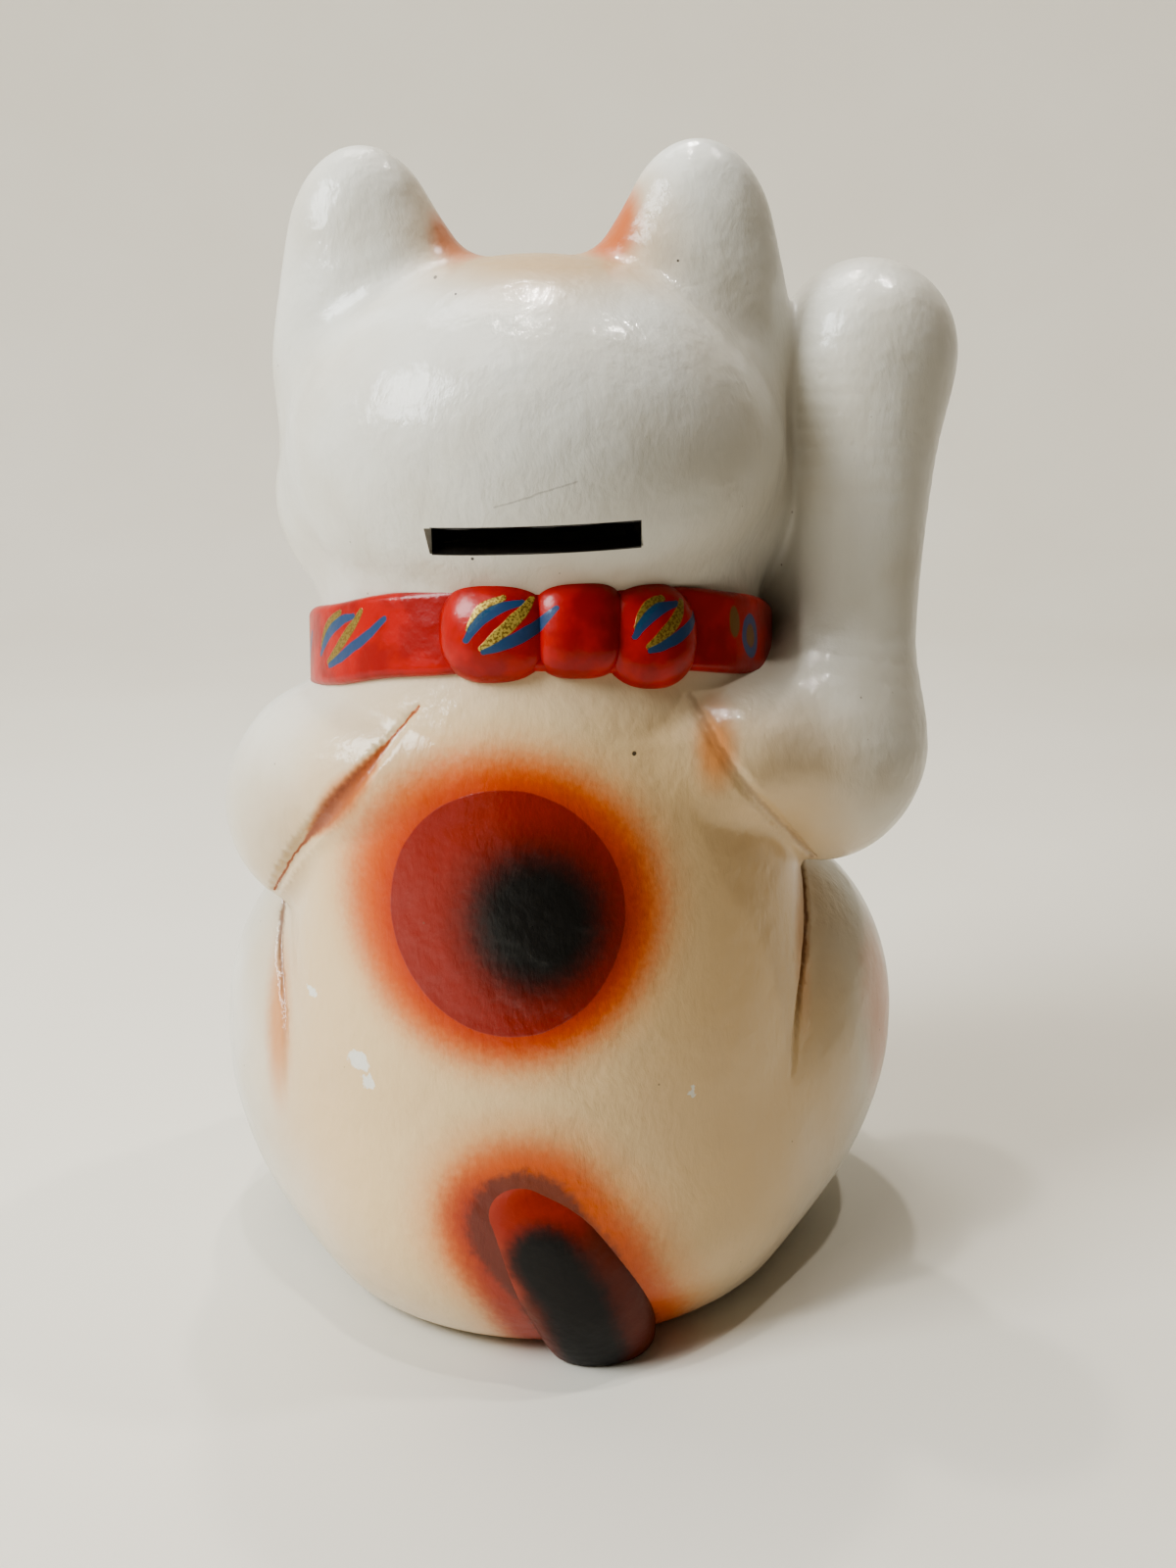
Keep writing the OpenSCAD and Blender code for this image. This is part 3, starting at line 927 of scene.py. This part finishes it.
def paint_tail_halo(paint, colour, back):
    """Orange round the tail, red-brown close to it, and a dark band at its edge that is painted shade where
    the tail meets the back
    """
    rough_edge = paint.shaken(1.5, 2.5)
    away = paint.line([(5, 35), (-3, 24), (-10, 6)], rough_edge)
    colour = paint.over(colour, PEACH, back, away, 14, 29, 0.8)
    colour = paint.over(colour, ORANGE, back, away, 13, 22, 0.9)
    left = paint.line([(12, 36), (7, 22), (2, 9)], rough_edge)
    colour = paint.over(colour, rgb(150, 48, 28), back, left, 4.0, 13.0, 0.95)
    # Painted shade: a dark band where the tail meets the back
    return paint.over(colour, rgb(92, 40, 28), back, away, 10.5, 13.5, 0.85)


def paint_face(paint, colour, front):
    """Generic open eyes, a pink nose, a thin mouth and whiskers"""
    hand = paint.shaken(6.0, 0.8)
    for side in (1, -1):
        eye = paint.lump((side * EYE[0], 0, EYE[2]), (8.6, None, 7.2), hand)
        slant = paint.lump((side * EYE[0], 0, EYE[2]), (2.3, None, 5.6), hand)
        glint = paint.lump((side * EYE[0] + 2.4, 0, EYE[2] + 2.8), (1.3, None, 1.5))
        colour = paint.over(colour, BLACK, front, eye, 1.0, 1.06)
        colour = paint.over(colour, rgb(214, 160, 38), front, eye, 0.82, 0.88)
        colour = paint.over(colour, BLACK, front, slant, 0.95, 1.05)
        colour = paint.over(colour, (0.8, 0.8, 0.8), front, glint, 0.9, 1.05)
        inner_ear = paint.lump((side * 34, -15, 219), (9.5, 14.0, 17.5))
        colour = paint.over(colour, rgb(206, 92, 84), front, inner_ear, 0.65, 1.0, 0.9)
        for height, drop in ((170, 2.0), (166, 0.0), (162, -2.5)):
            whisker = paint.stroke((side * 21, height), (side * 41, height + drop), hand)
            colour = paint.over(colour, rgb(60, 44, 36), front, whisker, 0.35, 0.6)
        lip = paint.line([(side * x, z) for x, _, z in MOUTH])
        colour = paint.over(colour, rgb(150, 52, 44), front, lip, 0.6, 1.0)
    nose = paint.lump(NOSE, (5.3, 6.5, 3.4))
    return paint.over(colour, rgb(206, 96, 92), front, nose, 0.95, 1.05)


def white_glaze():
    """Cream-white lacquer over fired clay, airbrushed and painted by hand, with painted shade in the
    creases, at the tail's edge and in the coin slot
    """
    paint = Paint("white_glaze", 0.42, shine=0.3, coat_roughness=0.06)
    back = paint.fade(paint.y, 8, -6)
    front = paint.fade(paint.y, -12, -4)
    colour = paint.mix(rgb(218, 216, 207), rgb(208, 203, 190), paint.fade(paint.noise(30), 0.65, 0.35))
    beige = paint.lump((-3, 4, 228), (34, 44, 26))
    colour = paint.mix(colour, rgb(184, 152, 108), paint.fade(beige, 0.4, 1.05, 0.95))
    warm = paint.lump((-2, 44, 72), (92, 84, 100), paint.shaken(25, 16))
    colour = paint.mix(colour, rgb(220, 187, 138), paint.fade(warm, 0.55, 1.04, 0.9))
    ear_roots = [((15, 0, 230), (8.5, 16, 12), 0.75), ((-17.5, 0, 231), (8.5, 16, 16), 0.95)]
    for centre, radii, strength in ear_roots:
        patch = paint.lump(centre, radii, paint.shaken(2, 1.5))
        colour = paint.mix(colour, rgb(186, 98, 50), paint.fade(patch, 0.4, 1.0, strength))
    blush = paint.lump((-79, 8, 56), (10, 24, 34), paint.shaken(8, 5))
    colour = paint.mix(colour, rgb(214, 142, 104), paint.fade(blush, 0.2, 1.0, 0.6))
    colour = paint_crease_tint_and_shade(paint, colour, back)
    colour = paint_tail_halo(paint, colour, back)
    colour = paint_chips(paint, colour, back)
    colour, disc = paint_back_spot(paint, colour, back)
    colour = paint_face(paint, colour, front)
    scratch = paint.stroke((7, 179.3), (-9, 183.9), paint.shaken(5, 0.8))
    colour = paint.over(colour, rgb(120, 112, 104), back, scratch, 0.05, 0.3, 0.35)
    dots = [(19, 222.2, 0.42), (-30.6, 224.6, 0.28), (-19.2, 129.5, 0.49), (11.8, 169, 0.35)]
    dots += [(14.2, 218.7, 0.245)]
    for x, z, size in dots:
        dot = paint.lump((x, 0, z), (size, None, size))
        colour = paint.over(colour, rgb(40, 34, 30), back, dot, 0.7, 1.1, 0.9)
    # Painted shade: the walls of the coin slot are darkened, with a thin dark line just above and below its
    # opening
    slot = back
    level = paint.math("MULTIPLY_ADD", paint.x, -SLOT_TILT, paint.z)
    sides = [(level, SLOT_LOW, SLOT_HIGH, 0.2), (paint.x, SLOT_RIGHT, SLOT_LEFT, -0.5)]
    for place, low, high, margin in sides:
        off = paint.math("ABSOLUTE", paint.math("SUBTRACT", place, (low + high) / 2))
        half = (high - low) / 2 + margin
        slot = paint.both(slot, paint.fade(off, half, half + 0.1))
    colour = paint.mix(colour, rgb(30, 26, 22), slot)
    recess = paint.fade(paint.lump((*BASE_MIDDLE, 0), (RECESS_R + 1.5, RECESS_R + 1.5, None)), 0.99, 1.0)
    recess = paint.both(recess, paint.fade(paint.z, RECESS_H + 1, RECESS_H + 3))
    bare = paint.math("MAXIMUM", recess, paint.fade(paint.z, 0.3, 0.9))
    colour = paint.mix(colour, rgb(204, 188, 162), bare)
    pits = paint.tree.nodes.new("ShaderNodeTexVoronoi")
    pits.inputs["Scale"].default_value = 1 / 9
    paint.connect(paint.place, pits.inputs["Vector"])
    speck = paint.fade(pits.outputs["Distance"], 0.018, 0.035, 0.55)
    colour = paint.mix(colour, rgb(96, 74, 56), speck)
    grain = paint.vector("MULTIPLY", paint.shaken(14, 6), (1.0, 1.0, 0.45))
    normal = paint.bump(paint.noise(1.5, 4.0, grain, 0.6), 0.13)
    normal = paint.bump(paint.noise(7.0, 2.0), 0.45, normal)
    normal = paint.bump(disc, 0.03, normal)
    roughness = paint.math("MULTIPLY_ADD", disc, -0.08, 0.3)
    roughness = paint.math("MULTIPLY_ADD", paint.noise(3.0), 0.22, roughness)
    coat = paint.math("MULTIPLY_ADD", disc, 0.2, 0.45)
    paint.connect(paint.both(coat, paint.math("SUBTRACT", 1.0, bare)), paint.shader.inputs["Coat Weight"])
    roughness = paint.math("MULTIPLY_ADD", bare, 0.4, roughness)
    return paint.finish(colour, normal, roughness)


def painted_tail():
    """Black down the middle, red and brown at the sides and the root; the sides carry painted light and
    shade, lighter red on the upper +X side toward the light and darker brown on the lower -X side
    """
    paint = Paint("tail_paint", 0.42, shine=0.25, coat=0.08, coat_roughness=0.2)
    hand = paint.shaken(1.6, 2.0)
    # Painted light and shade: the tail's red is lighter on the side toward the light and darker brown on the
    # side away from it
    across = paint.vector("DOT_PRODUCT", paint.place, (0.84, 0, 0.54))
    colour = paint.mix(rgb(96, 36, 20), rgb(146, 58, 40), paint.fade(across, 18, 13))
    root = paint.lump((2.0, 0, 37.0), (12, None, 9.0), hand)
    colour = paint.mix(colour, rgb(138, 34, 18), paint.fade(root, 0.5, 1.1, 0.9))
    middle = paint.line([(1.0, 29.0), (-4.5, 20.0), (-8.5, 4.0)], hand)
    colour = paint.mix(colour, rgb(60, 18, 10), paint.fade(middle, 6.0, 10.5, 0.9))
    colour = paint.mix(colour, rgb(20, 18, 17), paint.fade(middle, 4.5, 8.5))
    normal = paint.bump(paint.noise(1.3, 3.0), 0.08)
    normal = paint.bump(paint.noise(6.0), 0.3, normal)
    return paint.finish(colour, normal, paint.math("MULTIPLY_ADD", paint.noise(3.0), 0.2, 0.34))


# Brush strokes of one group on the collar: pigment, width, bend, then (angle, height) at both ends
STROKES = [
    ("gold", 1.3, 0.9, (-0.6, 5.8), (6.4, -0.2)), ("blue", 1.25, 1.5, (-4.4, 4.9), (7.0, -2.2)),
    ("gold", 1.25, -0.8, (-6.4, 5.6), (3.8, -4.0)), ("blue", 1.2, -1.0, (-11.5, 3.4), (3.4, -4.8)),
]
# Groups round the back: angle of each, its stretch along the band, and its gold's dullness
STROKE_GROUPS = [(7.0, 1.0, 0.0), (-27.0, 0.9, 0.5), (53.5, 1.5, 0.8)]


def collar_paint():
    """Glossy red lacquer with blue and gold brush strokes"""
    paint = Paint("red_paint", 0.38, shine=0.3, coat=0.16, coat_roughness=0.12)
    colour = paint.mix(rgb(176, 24, 14), rgb(148, 16, 10), paint.fade(paint.noise(9.0, 3.0), 0.6, 0.4))
    sine = math.sin(NECK_TILT)
    cosine = math.cos(NECK_TILT)
    level = paint.math("SUBTRACT", paint.z, NECK_Z)
    back = paint.math("MULTIPLY_ADD", paint.y, cosine, paint.math("MULTIPLY", level, sine))
    height = paint.math("MULTIPLY_ADD", level, cosine, paint.math("MULTIPLY", paint.y, -sine))
    sideways = paint.math("DIVIDE", paint.x, NECK_HALF_W)
    turn = paint.math("ARCTAN2", sideways, paint.math("DIVIDE", back, NECK_HALF_D))
    arc = paint.math("MULTIPLY", turn, ARC_R)
    degree = ARC_R * math.pi / 180
    hand = paint.shaken(7.0, 1.1, paint.combine(arc, 0.0, height))
    flakes = paint.noise(0.5, 2.0)
    gold_mask = 0.0
    repeat = paint.math("WRAP", arc, 100 * degree, 65 * degree)
    front = paint.fade(paint.math("ABSOLUTE", arc), 72 * degree, 70 * degree)
    front_place = paint.shaken(7.0, 1.1, paint.combine(repeat, 0.0, height))
    groups = [(g, hand, None) for g in STROKE_GROUPS] + [((84.0, 1.0, 0.2), front_place, front)]
    for (angle, stretch, dull), vector, mask in groups:
        for pigment, width, bend, start, end in STROKES:
            a = ((angle + start[0] * stretch) * degree, start[1])
            b = ((angle + end[0] * stretch) * degree, end[1])
            dab = paint.dab(a, b, bend, width, vector)
            if mask is not None:
                dab = paint.both(dab, mask)
            if pigment == "blue":
                colour = paint.mix(colour, rgb(6, 70, 108), dab)
                gold_mask = paint.both(gold_mask, paint.math("SUBTRACT", 1.0, dab))
            else:
                bright = rgb(196 - 66 * dull, 176 - 60 * dull, 92 - 34 * dull)
                metal = paint.mix(bright, rgb(120, 100, 46), paint.fade(flakes, 0.62, 0.42))
                colour = paint.mix(colour, metal, dab)
                gold_mask = paint.math("MAXIMUM", gold_mask, dab)
    ring_place = paint.lump((-52.0, 0.0, -0.4), (3.4, None, 4.4), hand)
    blot = paint.lump((-45.6, 0.0, 2.2), (1.9, None, 3.4), hand)
    colour = paint.mix(colour, rgb(104, 88, 44), paint.fade(blot, 0.85, 1.05, 0.85))
    colour = paint.mix(colour, rgb(104, 88, 44), paint.fade(ring_place, 0.5, 0.6, 0.85))
    ring = paint.both(paint.fade(ring_place, 1.0, 1.12, 0.9), paint.fade(ring_place, 0.62, 0.5))
    colour = paint.mix(colour, rgb(34, 78, 120), ring)
    normal = paint.bump(paint.noise(4.0, 3.0), 0.22)
    normal = paint.bump(gold_mask, 0.06, normal)
    roughness = paint.math("MULTIPLY_ADD", gold_mask, 0.12, 0.32)
    return paint.finish(colour, normal, roughness, paint.both(gold_mask, 0.55))


def gold_leaf():
    """Gold paint, worn through to a darker ground in patches"""
    paint = Paint("gold_paint", 0.34, coat=0.25, coat_roughness=0.12, metallic=0.85)
    colour = paint.mix(rgb(214, 168, 74), rgb(178, 128, 48), paint.fade(paint.noise(3.0, 4.0), 0.62, 0.4))
    worn = paint.fade(paint.noise(1.6, 5.0, roughness=0.7), 0.72, 0.64, 0.6)
    colour = paint.mix(colour, rgb(92, 60, 28), worn)
    normal = paint.bump(paint.noise(0.8, 3.0), 0.04)
    return paint.finish(colour, normal, paint.math("MULTIPLY_ADD", paint.noise(2.0), 0.25, 0.22))


def stopper_rubber():
    """Dull dark grey rubber"""
    paint = Paint("stopper_rubber", 0.62)
    colour = paint.mix(rgb(58, 58, 60), rgb(74, 73, 72), paint.noise(2.5, 4.0))
    normal = paint.bump(paint.noise(0.35, 3.0), 0.03)
    return paint.finish(colour, normal, paint.math("MULTIPLY_ADD", paint.noise(1.4), 0.2, 0.52))


GLAZE = white_glaze()
TAIL_PAINT = painted_tail()
RED = collar_paint()
GOLD = gold_leaf()
RUBBER = stopper_rubber()
FINISH = {
    "tail": (TAIL_PAINT, "tail_paint"),
    "collar_band": (RED, "red_paint"),
    "bow_loop_left": (RED, "red_paint"),
    "bow_knot": (RED, "red_paint"),
    "bow_loop_right": (RED, "red_paint"),
    "bell": (GOLD, "gold_paint"),
    "koban": (GOLD, "gold_paint"),
    "stopper": (RUBBER, "stopper_rubber"),
}


def place(piece, node, material, slot):
    """Finishes a piece and sets it in the frame in place of its CAD node"""
    piece.data.materials.append(material)
    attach(piece, "stopper" if node == "stopper" else "figurine")
    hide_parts(node)


for node, mesh in sculpt_white().items():
    place(solid("cast_" + node, mesh, WALL), node, GLAZE, "white_glaze")
for node, (field, low, high, share) in RELIEF.items():
    points, normals, triangles = skin(field, low, high, FINE * share)
    place(make("formed_" + node, points, triangles, normals[triangles].reshape(-1, 3)), node, *FINISH[node])


# ---------------------------------------------------------------- stage and light

def add_stage():
    """Flat pale floor that curves up into a round wall, darker behind and to the right of the camera"""
    flat_r = 0.75
    bend_r = 0.55
    wall_top = 1.9
    sides = 96
    bend = np.linspace(0.1, math.pi / 2, 14)
    profile = [(flat_r, 0.0)]
    profile += [(flat_r + bend_r * math.sin(a), bend_r - bend_r * math.cos(a)) for a in bend]
    profile += [(flat_r + bend_r, wall_top)]
    points = [
        (r * math.cos(2 * math.pi * i / sides), r * math.sin(2 * math.pi * i / sides), z)
        for r, z in profile for i in range(sides)
    ]
    faces = [tuple(range(sides))]
    faces += [
        (low + i, low + sides + i, low + sides + (i + 1) % sides, low + (i + 1) % sides)
        for low in range(0, (len(profile) - 1) * sides, sides) for i in range(sides)
    ]
    data = bpy.data.meshes.new("floor")
    data.from_pydata(points, [], faces)
    data.polygons.foreach_set("use_smooth", [True] * len(faces))
    floor = bpy.data.objects.new("floor", data)
    bpy.context.collection.objects.link(floor)
    paint = Paint("floor_paint", 0.8)
    colour = paint.mix(rgb(222, 218, 208), rgb(216, 210, 198), paint.noise(120.0))
    away = paint.vector("DOT_PRODUCT", paint.place, (-0.75, 0.66, 0.0))
    colour = paint.mix(colour, rgb(110, 100, 86), paint.fade(away, 720.0, 150.0))
    floor.data.materials.append(paint.finish(colour))


def add_light(name, place, target, size, power, colour):
    """Square soft light that faces the target"""
    data = bpy.data.lights.new(name, "AREA")
    data.size = size
    data.energy = power
    data.color = colour
    light = bpy.data.objects.new(name, data)
    bpy.context.collection.objects.link(light)
    light.location = Vector(place)
    light.rotation_euler = (Vector(target) - Vector(place)).to_track_quat("-Z", "Y").to_euler()


def add_world():
    """Weak warm light from all round, and a firm tone curve"""
    bpy.context.scene.view_settings.look = "AgX - Medium High Contrast"
    world = bpy.data.worlds.new("studio")
    bpy.context.scene.world = world
    world.use_nodes = True
    sky = world.node_tree.nodes["Background"]
    sky.inputs["Color"].default_value = (1.0, 0.90, 0.78, 1)
    sky.inputs["Strength"].default_value = 0.02


MIDDLE = (0, 0, 0.12)
add_stage()
add_world()
add_light("window", (0.72, 0.34, 0.78), MIDDLE, 0.45, 12.6, (0.93, 0.98, 1.0))
add_light("soft_above", (0.30, 0.30, 1.15), MIDDLE, 0.40, 1.5, (1.0, 0.97, 0.92))
add_light("backdrop", (0.25, -0.45, 1.4), (0, -1.1, 0.1), 0.60, 7.6, (1.0, 0.985, 0.95))
for index, spot in enumerate(((0.0, -0.42, 1.15), (0.05, -0.02, 1.25), (-0.38, -0.1, 1.15))):
    add_light(f"ceiling_{index}", spot, MIDDLE, 0.04, 2.4, (1.0, 0.97, 0.92))
